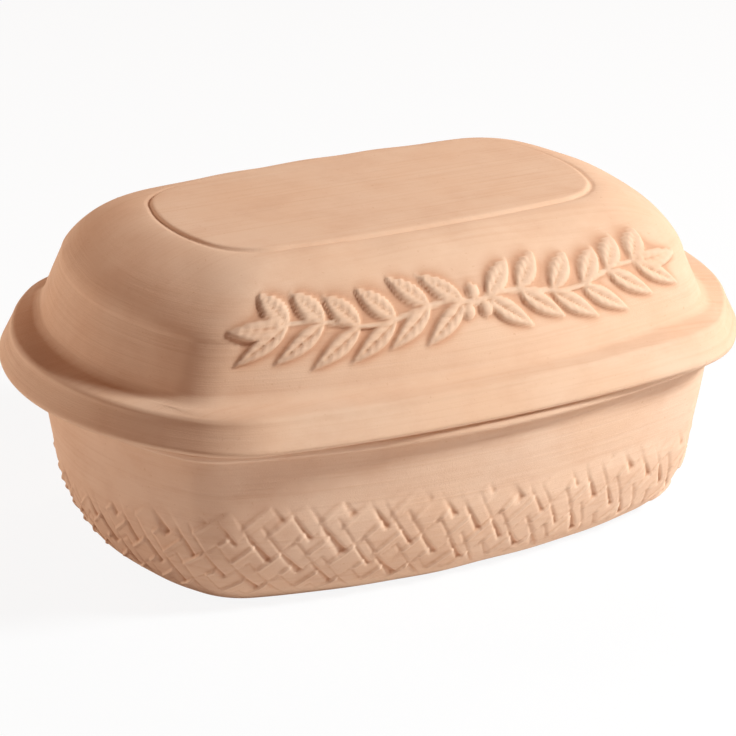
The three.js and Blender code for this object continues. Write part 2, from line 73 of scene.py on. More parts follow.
# Lid, as in the solids
FLANGE_SIDE_OVERHANG = 7.9
FLANGE_END_OVERHANG = 17.6
FLANGE_SIDE_BOW = 24.6
FLANGE_END_BOW = 68.4
FLANGE_CORNER_RADIUS = 53.0
BAND_HEIGHT = 15.1
BAND_LEAN = 5.1
BAND_LOWER_RADIUS = 2.5
BAND_UPPER_RADIUS = 3.0
SHELF_RISE = 1.1
DOME_SIDE_SET_BACK = 6.7
DOME_END_SET_BACK = 3.2
DOME_HEIGHT = 50.2
DOME_FOOT_FILLET = 7.0
DOME_WALL_HEIGHT = 24.6
DOME_WALL_LEAN = 10.7
DOME_SHOULDER_EXPONENT = 1.44
LID_WALL = 8.5
PANEL_LENGTH = 200.2
PANEL_WIDTH = 106.2
PANEL_SIDE_BOW = 7.5
PANEL_END_BOW = 16.1
PANEL_CORNER_RADIUS = 25.0
PANEL_STEP = 1.2
PANEL_SURROUND = 3.4

# Section of the panel's edge: distance in from its outline, and height over the dome's top
PANEL_EDGE = (
    (-2.8, 0.0), (-1.9, -0.3), (-1.1, -0.35), (-0.5, 0.05),
    (-0.1, 0.6), (0.3, 0.95), (0.9, 1.15), (1.8, PANEL_STEP),
)

# Weave pressed into the base, with heights measured up the wall from the edge of the foot
WEAVE_STRIPS = 104
WEAVE_FLOAT = 3
WEAVE_CYCLE = 8
WEAVE_STEP = 3
FALLING_DEGREES = 62.0
RISING_DEGREES = 38.0
WEAVE_RELIEF = 1.0
WEAVE_UNDER = -0.9
WEAVE_TOP = 53.5
WEAVE_BOTTOM = 15.0
WEAVE_RAGGED = 3.5
TOP_SWAY = 6.0
TOP_SWAY_TURN = 0.19
END_DIP = 3.0
STRIP_DIVE = 0.22
SLIT_NARROW = 0.3
SLIT_WIDE = 2.2
SLIT_WALL = 0.3
FALLING_TILT = -0.2
RISING_TILT = 0.3
RISING_GROUP = 2
FALLING_SHARE = 0.78
RIDGE_HEIGHT = 1.15
RIDGE_WIDTH = 0.6
TOP_FADE_OUT = 5.0
TOP_FADE_IN = 9.0
BOTTOM_FADE = 5.0
STRIP_WAVES = 6
STRIP_UNEVEN = 0.05
STRIP_BEND = 0.5
STRIP_HEIGHTS = (0.8, 1.05)
SLIT_SIZES = (0.5, 1.2)

# Slight waviness of the clay, where it fades out, and the hollows and ridges that the painted shade
# and painted highlight follow
BASE_UNEVEN = 0.22
LID_UNEVEN = 0.2
SKIN_MARGIN = 6.0
SKIN_ROWS = 7
PANEL_SKIN_ROWS = 12
CAVITY_DEPTH = 0.6
CAVITY_PASSES = 10

# Fineness of the meshes: steps along half an end, a corner and half a side, then rows
BASE_STEPS = (136, 48, 196)
LID_STEPS = (60, 30, 118)
ARC_ROWS = 7
FOOT_ROWS = 8
CURVE_ROWS = 92
WALL_ROWS = 44
RIM_ROWS = 4
INNER_WALL_ROWS = 8
BOWL_ROWS = 24
BOWL_FLOOR_ROWS = 10
CEILING_FLAT_ROWS = 8
CEILING_ROWS = 16
TONGUE_ROWS = 5
SEAT_ROWS = 3
BAND_ROWS = 8
DOME_FOOT_ROWS = 9
DOME_WALL_ROWS = 22
SHOULDER_ROWS = 34
PANEL_ROWS = 14

# Rows on which lengths around the pot are measured, from the wall's upper or lower end
BASE_MEASURE_ROW = 20
LID_MEASURE_ROW = 12

# Leaf garland raised on the long sides of the dome, whose middles are given in turns
LEAF_LENGTH = 27.0
LEAF_WIDTH = 11.0
LEAF_RELIEF = 2.3
LEAF_PAIRS = 6
LEAF_PITCH = 17.0
LEAF_TILT_DEGREES = 38.0
STEM_WIDTH = 4.2
STEM_RELIEF = 1.8
GARLAND_HEIGHT = 26.0
LEAF_BASE_POWER = 0.8
LEAF_FULL_POWER = 0.85
LEAF_EDGE = 1.9
LEAF_SWELL = 0.22
RIB_WIDTH = 0.65
RIB_DEPTH = 0.42
RIB_FADE = (0.95, 0.8)
VEIN_DEPTH = 0.07
VEIN_COUNT = 6.0
VEIN_SPREAD = 4.5
VEIN_FADE = (0.8, 2.2)
FIRST_LEAF = 0.35
STEM_END = 0.2
STEM_WAVE = 2.6
STEM_WAVE_PITCHES = 4
STEM_TAPER = 0.35
STEM_EDGE = 1.5
STEM_TIP = 5.0
TIP_LEAF_OVERLAP = 6.0
BERRY_RADIUS = 3.6
BERRIES = ((0.0, 5.2), (-4.6, -3.2), (4.6, -3.2))
LONG_SIDE_TURNS = (0.25, 0.75)

# Fired clay: colours, then the scale, detail, roughness and stretch of each noise
# The pale dust colour serves the mottle and pale streaks, and also the painted highlight on ridges.
BASE_COLOURS = {
    # The base's colours are a little paler than the lid's: painted light standing in for light that
    # the floor bounces onto the base.
    "pale": (0.755, 0.480, 0.318),
    "deep": (0.590, 0.305, 0.182),
    "dust_and_highlight": (0.790, 0.540, 0.385),
}
LID_COLOURS = {
    "pale": (0.742, 0.458, 0.295),
    "deep": (0.590, 0.305, 0.180),
    "dust_and_highlight": (0.777, 0.526, 0.366),
}
CLAY_ROUGHNESS = 0.92
CLAY_SPECULAR = 0.18
MOTTLE = (16.0, 4.0, 0.6, (1.0, 1.0, 1.6))
CLOUDS = (45.0, 5.0, 0.65, (1.0, 1.0, 1.4))
STREAKS_AROUND = (1.0, 6.0, 0.6, (9.0, 9.0, 520.0))
STREAKS_LENGTHWISE = (1.0, 6.0, 0.6, (9.0, 420.0, 60.0))
GRAIN = (1500.0, 3.0, 0.6, (1.0, 1.0, 1.0))
SPECKS = (520.0, 2.0, 0.5, (1.0, 1.0, 1.0))
GRAIN_WEIGHT = 0.55
BUMP_STRENGTH = 0.35
BUMP_DEPTH_METRES = 0.0005

# Effects on the clay: the two values between which each sets in, then its share at each
FLAT_FACES = (0.75, 0.95, 0.0, 1.0)
# Painted shade: the hollows of the relief are darkened towards the deep colour, where shade falls.
HOLLOW_SHADE = (0.05, 0.9, 0.0, 0.8)
# Painted highlight: the ridges of the relief are lightened, as lit edges look.
RIDGE_HIGHLIGHT = (-0.15, -0.9, 0.0, 0.5)
DUST = (0.35, 0.68, 0.1, 0.8)
DARK_CLOUDS = (0.45, 0.75, 0.0, 0.28)
DARK_STREAKS = (0.52, 0.78, 0.0, 0.32)
PALE_STREAKS = (0.48, 0.26, 0.0, 0.35)
DARK_SPECKS = (0.68, 0.78, 0.0, 0.4)
STREAK_HEIGHTS = (0.2, 0.8, 0.0, 1.0)

# Camera, from lines of the pot traced on the photograph
VIEW_AZIMUTH = -28.03
VIEW_ELEVATION = 21.45
VIEW_DISTANCE = 1351.6
VIEW_TARGET = (-0.6, 2.5, 65.8)
LENS = 142.67
SENSOR = 36.0
VIEW_FAR_METRES = 20

# Studio, in metres: each lamp has a name, azimuth, elevation, size, watts and colour
LAMP_DISTANCE = 1.5
LAMP_TARGET = (0.0, 0.0, 0.08)
LAMPS = (
    ("key", 48, 38, 0.30, 29.0, (0.84, 0.95, 1.0)),
    ("rim", -133, 4, 0.36, 10.5, (1.0, 0.98, 0.92)),
    ("back", 130, 40, 0.40, 4.0, (1.0, 0.82, 0.70)),
)
AMBIENT_COLOUR = (0.19, 0.085, 0.045)
BACKDROP_COLOUR = (1.0, 1.0, 1.0)
FLOOR_HALF = 6.0
FLOOR_COLOUR = (0.9, 0.9, 0.9, 1.0)
FLOOR_GLOW = 0.9


# Outlines in plan: a rectangle with bowed sides, bowed ends and round corners

def outline(half_length, half_width, side_bow, end_bow, corner):
    side_radius = (half_length ** 2 + side_bow ** 2) / (2 * side_bow)
    end_radius = (half_width ** 2 + end_bow ** 2) / (2 * end_bow)
    return np.array([half_length, half_width, side_radius, end_radius, corner])


def inset(plan, sides, ends=None):
    ends = sides if ends is None else ends
    half_length, half_width, side_radius, end_radius, corner = plan
    return np.array([
        half_length - ends,
        half_width - sides,
        side_radius - sides,
        end_radius - ends,
        max(corner - sides, TIGHTEST_CORNER),
    ])


def blend(start, end, share):
    return start + (end - start) * share


def arc_points(centre, radius, start, end, steps):
    angle = np.linspace(start, end, steps, endpoint=False)
    return np.stack([centre[0] + radius * np.cos(angle), centre[1] + radius * np.sin(angle)], 1)


def ring_points(plan, steps):
    """Points around one outline, anticlockwise from the middle of the +X end."""
    half_length, half_width, side_radius, end_radius, corner = plan
    side_centre = np.array([0.0, half_width - side_radius])
    end_centre = np.array([half_length - end_radius, 0.0])
    between = end_centre - side_centre
    gap = np.linalg.norm(between)
    side_distance = side_radius - corner
    end_distance = end_radius - corner
    along = (gap ** 2 + side_distance ** 2 - end_distance ** 2) / (2 * gap)
    across = math.sqrt(max(side_distance ** 2 - along ** 2, 0.0))
    direction = between / gap
    outwards = np.array([-direction[1], direction[0]])
    outwards = outwards * np.sign(outwards.sum())
    centre = side_centre + direction * along + outwards * across
    end_angle = math.atan2(centre[1] - end_centre[1], centre[0] - end_centre[0])
    side_angle = math.atan2(centre[1] - side_centre[1], centre[0] - side_centre[0])
    end_steps, corner_steps, side_steps = steps
    quarter = np.concatenate([
        arc_points(end_centre, end_radius, 0.0, end_angle, end_steps),
        arc_points(centre, corner, end_angle, side_angle, corner_steps),
        arc_points(side_centre, side_radius, side_angle, math.pi / 2, side_steps),
    ])
    middle = np.array([[0.0, half_width]])
    mirrored = quarter[:0:-1] * np.array([-1.0, 1.0])
    half = np.concatenate([quarter, middle, mirrored])
    return np.concatenate([half, -half])


# Sections: lists of rows, each an outline at a height

def arc_rows(plan, centre_inset, centre_z, radius, start, end, steps=ARC_ROWS):
    """Rows along an arc of the section. Angle 0 points outwards and 90 degrees points up."""
    angles = np.radians(np.linspace(start, end, steps))
    return [
        (inset(plan, centre_inset - radius * math.cos(a)), centre_z + radius * math.sin(a))
        for a in angles
    ]


def line_rows(start, end, steps):
    """Rows between two others, both of which are left out."""
    shares = np.linspace(0, 1, steps + 2)[1:-1]
    return [(blend(start[0], end[0], s), start[1] + (end[1] - start[1]) * s) for s in shares]


def shrunk_rows(last, steps):
    """Rows that close a flat face in towards the axis."""
    plan, z = last
    shares = np.linspace(1, 0, steps + 2)[1:-1]
    return [(plan * s, z) for s in shares]


def draft_at(z):
    return math.tan(math.radians(WALL_DRAFT_DEGREES)) * (BASE_HEIGHT - z)


def bottom_curve(body, depth, foot_z, steps):
    """Quarter ellipse from the foot's edge up into the drafted wall, on either face of it."""
    turn_in = FOOT_INSET - draft_at(0)
    rows = []
    for angle in np.linspace(0, math.pi / 2, steps):
        z = foot_z + (BOTTOM_CURVE_HEIGHT - foot_z) * (1 - math.cos(angle))
        distance = depth + draft_at(z) + turn_in * (1 - math.sin(angle))
        rows.append((inset(body, distance), z))
    return rows


def body_outline():
    return outline(
        BODY_LENGTH / 2, BODY_WIDTH / 2, BODY_SIDE_BOW, BODY_END_BOW, BODY_CORNER_RADIUS
    )


def base_rows():
    """Rows from the middle of the foot, up the outside, over the rim and down to the floor."""
    body = body_outline()
    lip_underside = BASE_HEIGHT - LIP_HEIGHT
    lip_edge = LIP_EDGE_RADIUS - LIP_OVERHANG
    fillet_z = lip_underside - LIP_FILLET
    mouth_edge = BASE_WALL - MOUTH_EDGE_RADIUS
    rebate_floor = BASE_HEIGHT - TONGUE_DEPTH - TONGUE_END_CLEARANCE
    wall_top = rebate_floor - REBATE_RUN_OUT
    curve = bottom_curve(body, 0, 0, CURVE_ROWS)
    fillet = arc_rows(body, draft_at(fillet_z) - LIP_FILLET, fillet_z, LIP_FILLET, 180, 90)
    lip_low = arc_rows(body, lip_edge, lip_underside + LIP_EDGE_RADIUS, LIP_EDGE_RADIUS, -90, 0)
    lip_high = arc_rows(body, lip_edge, BASE_HEIGHT - LIP_EDGE_RADIUS, LIP_EDGE_RADIUS, 0, 90)
    mouth = arc_rows(
        body, mouth_edge, BASE_HEIGHT - MOUTH_EDGE_RADIUS, MOUTH_EDGE_RADIUS, 90, 180
    )
    rebate = [
        (inset(body, BASE_WALL), rebate_floor),
        (inset(body, BASE_WALL + draft_at(wall_top)), wall_top),
    ]
    bowl = bottom_curve(body, BASE_WALL, FLOOR_THICKNESS, BOWL_ROWS)[::-1]
    foot = shrunk_rows(curve[0], FOOT_ROWS)[::-1]
    outside = foot + curve + line_rows(curve[-1], fillet[0], WALL_ROWS) + fillet
    rim = lip_low + lip_high + line_rows(lip_high[-1], mouth[0], RIM_ROWS) + mouth
    inside = rebate + line_rows(rebate[-1], bowl[0], INNER_WALL_ROWS) + bowl
    inside += shrunk_rows(bowl[-1], BOWL_FLOOR_ROWS)
    return outside + rim + inside, len(foot)


def shoulder_rows(foot, top, foot_z, top_z, wall_height, steps):
    """A dome's shoulder, from the top of its leaning wall to the edge of its flat top."""
    wall_share = DOME_WALL_LEAN / (foot[1] - top[1])
    power = 2 / DOME_SHOULDER_EXPONENT
    rows = []
    for angle in np.linspace(0, math.pi / 2, steps):
        share = wall_share + (1 - wall_share) * (1 - math.cos(angle) ** power)
        rise = (top_z - foot_z - wall_height) * math.sin(angle) ** power
        rows.append((blend(foot, top, share), foot_z + wall_height + rise))
    return rows


def dome_foot_rows(foot, shelf_z):
    """Fillet between the flange's shelf and the leaning wall of the dome."""
    lean = math.atan2(DOME_WALL_LEAN, DOME_WALL_HEIGHT)
    centre_inset = -DOME_FOOT_FILLET * (1 - math.sin(lean)) / math.cos(lean)
    centre_z = shelf_z + DOME_FOOT_FILLET
    wall_degrees = math.degrees(lean) - 180
    return arc_rows(
        foot, centre_inset, centre_z, DOME_FOOT_FILLET, -90, wall_degrees, DOME_FOOT_ROWS
    )


def panel_edge_rows(panel, dome_top_z):
    """A shallow groove, then the soft step up to the raised panel."""
    return [(inset(panel, distance), dome_top_z + rise) for distance, rise in PANEL_EDGE]


def lid_rows():
    """Rows from the middle of the ceiling, down the inside, under the flange, up to the panel."""
    body = body_outline()
    seat_z = BASE_HEIGHT + SEAT_CLEARANCE
    tongue_z = seat_z - TONGUE_DEPTH
    band_top_z = seat_z + BAND_HEIGHT
    shelf_z = band_top_z + SHELF_RISE
    dome_top_z = shelf_z + DOME_HEIGHT
    tongue = inset(body, BASE_WALL + TONGUE_SIDE_CLEARANCE)
    tongue_inside = inset(tongue, TONGUE_THICKNESS)
    flange = outline(
        body[0] + FLANGE_END_OVERHANG, body[1] + FLANGE_SIDE_OVERHANG,
        FLANGE_SIDE_BOW, FLANGE_END_BOW, FLANGE_CORNER_RADIUS,
    )
    dome_foot = inset(body, DOME_SIDE_SET_BACK, DOME_END_SET_BACK)
    panel = outline(
        PANEL_LENGTH / 2, PANEL_WIDTH / 2, PANEL_SIDE_BOW, PANEL_END_BOW, PANEL_CORNER_RADIUS
    )
    upper_edge = BAND_LEAN + BAND_UPPER_RADIUS
    ceiling = shoulder_rows(
        tongue_inside, panel, shelf_z, dome_top_z - LID_WALL,
        DOME_WALL_HEIGHT - LID_WALL / 2, CEILING_ROWS,
    )[::-1]
    inner_foot = [(tongue_inside, shelf_z), (tongue_inside, tongue_z)]
    tongue_edge = arc_rows(
        tongue, TONGUE_EDGE_RADIUS, tongue_z + TONGUE_EDGE_RADIUS, TONGUE_EDGE_RADIUS,
        -90, 0, TONGUE_ROWS,
    )
    seat = [(tongue, seat_z)]
    band_low = arc_rows(
        flange, BAND_LOWER_RADIUS, seat_z + BAND_LOWER_RADIUS, BAND_LOWER_RADIUS, -90, 0
    )
    band_high = arc_rows(
        flange, upper_edge, band_top_z - BAND_UPPER_RADIUS, BAND_UPPER_RADIUS, 0, 90
    )
    fillet = dome_foot_rows(dome_foot, shelf_z)
    shoulder = shoulder_rows(
        dome_foot, inset(panel, -PANEL_SURROUND), shelf_z, dome_top_z,
        DOME_WALL_HEIGHT, SHOULDER_ROWS,
    )
    edge = panel_edge_rows(panel, dome_top_z)
    hidden = shrunk_rows(ceiling[0], CEILING_FLAT_ROWS)[::-1] + ceiling
    hidden += inner_foot + tongue_edge + seat + line_rows(seat[0], band_low[0], SEAT_ROWS)
    shown = band_low + line_rows(band_low[-1], band_high[0], BAND_ROWS) + band_high + fillet
    wall_start = len(hidden) + len(shown)
    shown += line_rows(fillet[-1], shoulder[0], DOME_WALL_ROWS) + shoulder + edge
    shown += shrunk_rows(edge[-1], PANEL_ROWS)
    return hidden + shown, len(hidden), wall_start


# Grids of points over the rows

def section_grid(rows, steps):
    rings = [ring_points(plan, steps) for plan, _ in rows]
    heights = np.array([z for _, z in rows])
    grid = np.empty((len(rows), len(rings[0]), 3))
    grid[:, :, :2] = rings
    grid[:, :, 2] = heights[:, None]
    return grid


def grid_normals(grid):
    around = np.roll(grid, -1, axis=1) - np.roll(grid, 1, axis=1)
    normal = np.cross(around, np.gradient(grid, axis=0))
    return normal / np.maximum(np.linalg.norm(normal, axis=2, keepdims=True), 1e-9)


def ring_distance(ring):
    """How far along a ring each point lies, and the ring's whole length."""
    steps = np.linalg.norm(np.roll(ring, -1, axis=0) - ring, axis=1)
    return np.concatenate([[0.0], np.cumsum(steps)[:-1]]), steps.sum()


def section_distance(grid, column):
    steps = np.linalg.norm(np.diff(grid[:, column], axis=0), axis=1)
    return np.concatenate([[0.0], np.cumsum(steps)])


def smoothstep(low, high, value):
    share = np.clip((value - low) / (high - low), 0.0, 1.0)
    return share * share * (3 - 2 * share)


def wander(rng, turn, v, waves, least, most, stretch):
    """Smooth noise of about unit size that closes on itself around the pot."""
    total = np.zeros(np.broadcast(turn, v).shape)
    for _ in range(waves):
        count = rng.integers(least, most)
        phase = rng.uniform(0, 2 * math.pi)
        slope = rng.normal(0, stretch)
        total += np.sin(2 * math.pi * count * turn + slope * v + phase)
    return total / math.sqrt(waves)


def smoothed(values, passes):
    for _ in range(passes):
        values = (np.roll(values, 1, 1) + 2 * values + np.roll(values, -1, 1)) / 4
        padded = np.concatenate([values[:1], values, values[-1:]])
        values = (padded[:-2] + 2 * values + padded[2:]) / 4
    return values


# Weave on the base

def uneven(rng, at, strips):
    """A strip coordinate with uneven strip widths, which closes on itself around the pot."""
    moved = at.copy()
    for _ in range(STRIP_WAVES):
        count = rng.integers(strips // 6, strips // 2)
        phase = rng.uniform(0, 2 * math.pi)
        moved += STRIP_UNEVEN * np.sin(2 * math.pi * count * at / strips + phase)
    return moved


def passes_over(falling, rising):
    """1 where a falling strip lies over a rising one, 0 where it lies under it."""
    place = (rising + WEAVE_STEP * falling) % WEAVE_CYCLE
    return (place < WEAVE_FLOAT).astype(float)


def float_share(falling, rising_at):
    """Place along a falling strip's float, from 0 at its lower end to 1 at its upper end."""
    place = (rising_at + WEAVE_STEP * falling) % WEAVE_CYCLE
    return np.clip(place / WEAVE_FLOAT, 0, 1)


def lifted(before, here, after, share):
    """How far a strip is lifted, from its state in three crossings and its place in the middle."""
    start = 1 - smoothstep(-STRIP_DIVE, STRIP_DIVE, share)
    end = smoothstep(-STRIP_DIVE, STRIP_DIVE, share - 1)
    return here + (before - here) * start + (after - here) * end


def strip_height(lift, height, across, width, gap, far_gap, tilt, ridge_height):
    """Height of one set of strips: tilted, with a ridge along one edge and slits between them."""
    body = smoothstep(-SLIT_WALL, SLIT_WALL, across * width - gap)
    body = body * smoothstep(-SLIT_WALL, SLIT_WALL, (1 - across) * width - far_gap)
    ridge = np.exp(-(((1 - across) * width / RIDGE_WIDTH - 1) ** 2))
    face = height * (1 - max(tilt, 0) + tilt * across) + ridge_height * ridge
    return WEAVE_UNDER + (WEAVE_RELIEF * face - WEAVE_UNDER) * lift * body


def weave_relief(rng, turn, u, v, perimeter):
    """Height of two sets of strips that pass over and under each other."""
    strips = WEAVE_STRIPS
    pitch = perimeter / strips
    falling_angle = math.radians(FALLING_DEGREES)
    rising_angle = math.radians(RISING_DEGREES)
    bend = STRIP_BEND * wander(rng, turn, v, waves=6, least=4, most=16, stretch=0.05)
    falling_at = uneven(rng, (u + bend + v / math.tan(falling_angle)) / pitch, strips)
    rising_at = uneven(rng, (v / math.tan(rising_angle) - u + bend) / pitch, strips)
    falling = np.floor(falling_at).astype(int)
    rising = np.floor(rising_at).astype(int)
    falling_across = falling_at - falling
    rising_across = rising_at - rising
    over = passes_over(falling, rising)

    height = rng.uniform(*STRIP_HEIGHTS, 2 * strips)
    slit_size = rng.uniform(*SLIT_SIZES, strips)
    share = float_share(falling, rising_at)
    gap = (SLIT_WIDE + (SLIT_NARROW - SLIT_WIDE) * share) * slit_size[falling % strips]
    lift = lifted(
        passes_over(falling, rising - 1), over, passes_over(falling, rising + 1), rising_across
    )
    falling_top = strip_height(
        lift, FALLING_SHARE * height[falling % strips], falling_across,
        pitch * math.sin(falling_angle), gap, 0.0, FALLING_TILT, 0.0,
    )
    lift = lifted(
        1 - passes_over(falling - 1, rising), 1 - over, 1 - passes_over(falling + 1, rising),
        falling_across,
    )
    # Neighbouring rising strips show as one broad strip with a single ridge.
    group = rising // RISING_GROUP
    group_across = rising_at / RISING_GROUP - group
    rising_top = strip_height(
        lift, height[strips + group % strips], group_across,
        RISING_GROUP * pitch * math.sin(rising_angle),
        -SLIT_WALL, -SLIT_WALL, RISING_TILT, RIDGE_HEIGHT,
    )

    relief = np.maximum(falling_top, rising_top)
    strip = np.where(falling_top > rising_top, falling % strips, strips + rising % strips)
    top = WEAVE_TOP + TOP_SWAY * np.cos(4 * math.pi * (turn - TOP_SWAY_TURN))
    top = top - END_DIP * np.cos(8 * math.pi * turn)
    top = top + WEAVE_RAGGED * rng.uniform(-1, 1, 2 * strips)[strip]
    fade = smoothstep(-TOP_FADE_OUT, TOP_FADE_IN, top - v)
    fade = fade * smoothstep(-BOTTOM_FADE, BOTTOM_FADE, v - WEAVE_BOTTOM)
    return smoothed(relief * fade, 1)


# Leaf garland on the lid

def leaf_relief(u, v, base, angle):
    """A pointed leaf from its base along an angle, with a groove down its middle."""
    du = u - base[0]
    dv = v - base[1]
    along = (du * math.cos(angle) + dv * math.sin(angle)) / LEAF_LENGTH
    across = dv * math.cos(angle) - du * math.sin(angle)
    inside = np.clip(along, 0.0, 1.0)
    half = LEAF_WIDTH / 2 * np.sin(math.pi * inside ** LEAF_BASE_POWER) ** LEAF_FULL_POWER
    edge = np.where((along > 0) & (along < 1), half - np.abs(across), -1.0)
    crown = 1 - LEAF_SWELL + LEAF_SWELL * np.sin(math.pi * inside)
    body = smoothstep(0.0, LEAF_EDGE, edge) * crown
    rib = np.exp(-(across / RIB_WIDTH) ** 2) * smoothstep(*RIB_FADE, inside)
    waves = along * VEIN_COUNT - np.abs(across) / VEIN_SPREAD
    veins = VEIN_DEPTH * np.cos(2 * math.pi * waves) * smoothstep(*VEIN_FADE, edge)
    return LEAF_RELIEF * body * (1 - RIB_DEPTH * rib - veins)


def stem_height(u):
    wave = 2 * math.pi * np.abs(u) / (LEAF_PITCH * STEM_WAVE_PITCHES)
    return GARLAND_HEIGHT + STEM_WAVE * np.sin(wave)


def garland_relief(u, v):
    """A stem with pairs of leaves that point away from three berries in its middle."""
    reach = (LEAF_PAIRS - STEM_END) * LEAF_PITCH
    off = np.abs(v - stem_height(u))
    width = STEM_WIDTH * (1 - STEM_TAPER * np.clip(np.abs(u) / reach, 0, 1))
    ends = smoothstep(0.0, STEM_TIP, reach - np.abs(u))
    relief = STEM_RELIEF * smoothstep(0.0, STEM_EDGE, width / 2 - off) * ends
    tilt = math.radians(LEAF_TILT_DEGREES)
    for side in (-1, 1):
        heading = 0.0 if side > 0 else math.pi
        for pair in range(LEAF_PAIRS):
            place = side * (pair + FIRST_LEAF) * LEAF_PITCH
            root = (place, float(stem_height(place)))
            for turn in (-1, 1):
                leaf = leaf_relief(u, v, root, heading + side * turn * tilt)
                relief = np.maximum(relief, leaf)
        tip = (side * (reach - TIP_LEAF_OVERLAP), float(stem_height(reach)))
        relief = np.maximum(relief, leaf_relief(u, v, tip, heading))
    for berry_u, berry_v in BERRIES:
        away = np.hypot(u - berry_u, v - GARLAND_HEIGHT - berry_v) / BERRY_RADIUS
        relief = np.maximum(relief, LEAF_RELIEF * np.sqrt(np.clip(1 - away ** 2, 0, 1)))
    return relief


# Meshes

def grid_mesh(name, grid, attributes):
    """One closed mesh over a grid of rings, with a point at each end on the axis."""
    levels, columns, _ = grid.shape
    ends = grid[[0, -1]].mean(axis=1)
    vertices = np.concatenate([grid.reshape(-1, 3), ends]) * MM
    place = np.arange(levels * columns).reshape(levels, columns)
    beside = np.roll(place, -1, axis=1)
    quads = np.stack([place[:-1], beside[:-1], beside[1:], place[1:]], axis=-1).reshape(-1, 4)
    first = levels * columns
    last = first + 1
    caps = [(first, int(b), int(a)) for a, b in zip(place[0], beside[0])]
    caps += [(last, int(a), int(b)) for a, b in zip(place[-1], beside[-1])]
    mesh = bpy.data.meshes.new(name)
    mesh.from_pydata(vertices.tolist(), [], quads.tolist() + caps)
    for label, values in attributes.items():
        layer = mesh.attributes.new(name=label, type="FLOAT", domain="POINT")
        layer.data.foreach_set("value", np.concatenate([values.ravel(), [0.0, 0.0]]))
    mesh.shade_smooth()
    mesh.update()
    piece = bpy.data.objects.new(name, mesh)
    bpy.context.scene.collection.objects.link(piece)
    return piece


def cavity_of(relief):
    """How far each point lies below the smoothed relief around it, from -1 to 1, which sets the
    painted shade in hollows and the painted highlight on ridges.
    """
    return np.clip((smoothed(relief, CAVITY_PASSES) - relief) / CAVITY_DEPTH, -1.0, 1.0)


def make_base(material):
    """The base's mesh, with heights measured up the middle of its front long side."""
    rng = np.random.default_rng(SEED)
    rows, foot_count = base_rows()
    grid = section_grid(rows, BASE_STEPS)
    columns = grid.shape[1]
    outside = foot_count + CURVE_ROWS + WALL_ROWS
    u, perimeter = ring_distance(grid[outside - BASE_MEASURE_ROW])
    turn = (u / perimeter)[None, :]
    v = section_distance(grid, columns * 3 // 4)
    v = (v - v[foot_count])[:, None]
    relief = weave_relief(rng, turn, u[None, :], v, perimeter)
    skin = smoothstep(0.0, SKIN_MARGIN, v) * smoothstep(0.0, SKIN_MARGIN, v[outside] - v)
    relief = relief * (np.arange(len(rows)) < outside)[:, None]
    waves = wander(rng, turn, v, waves=9, least=3, most=22, stretch=0.12)
    relief = relief + BASE_UNEVEN * skin * waves
    shaped = grid + grid_normals(grid) * relief[:, :, None]
    piece = grid_mesh("base_pot_clay", shaped, {"cavity": cavity_of(relief)})
    piece.data.materials.append(material)
    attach(piece, "base")
    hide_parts("base_pot")


def make_lid(material):
    """The lid's mesh, with heights measured up the middle of its front long side."""
    rng = np.random.default_rng(SEED + 1)
    rows, shown, wall_start = lid_rows()
    grid = section_grid(rows, LID_STEPS)
    columns = grid.shape[1]
    u, perimeter = ring_distance(grid[wall_start + LID_MEASURE_ROW])
    turn = (u / perimeter)[None, :]
    v = section_distance(grid, columns * 3 // 4)
    v = (v - v[wall_start - 1])[:, None]
    relief = np.zeros(grid.shape[:2])
    for middle in LONG_SIDE_TURNS:
        offset = ((turn - middle + 0.5) % 1.0 - 0.5) * perimeter
        relief = np.maximum(relief, garland_relief(offset, v))
    level = np.arange(len(rows))[:, None]
    relief = relief * (level >= wall_start)
    skin = smoothstep(shown + SKIN_ROWS, shown + 2 * SKIN_ROWS, level)
    skin = skin * smoothstep(0, PANEL_SKIN_ROWS, len(rows) - PANEL_ROWS - level)
    waves = wander(rng, turn, v, waves=9, least=3, most=18, stretch=0.08)
    height = relief + LID_UNEVEN * skin * waves
    shaped = grid + grid_normals(grid) * height[:, :, None]
    piece = grid_mesh("lid_clay", shaped, {"cavity": cavity_of(relief)})
    piece.data.materials.append(material)
    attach(piece, "cover")
    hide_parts("lid")


# Fired clay

def colour_socket(sockets, name):
    """The colour socket of that name on a Mix node, which has one of each type."""
    return [s for s in sockets if s.name == name and s.type == "RGBA"][0]


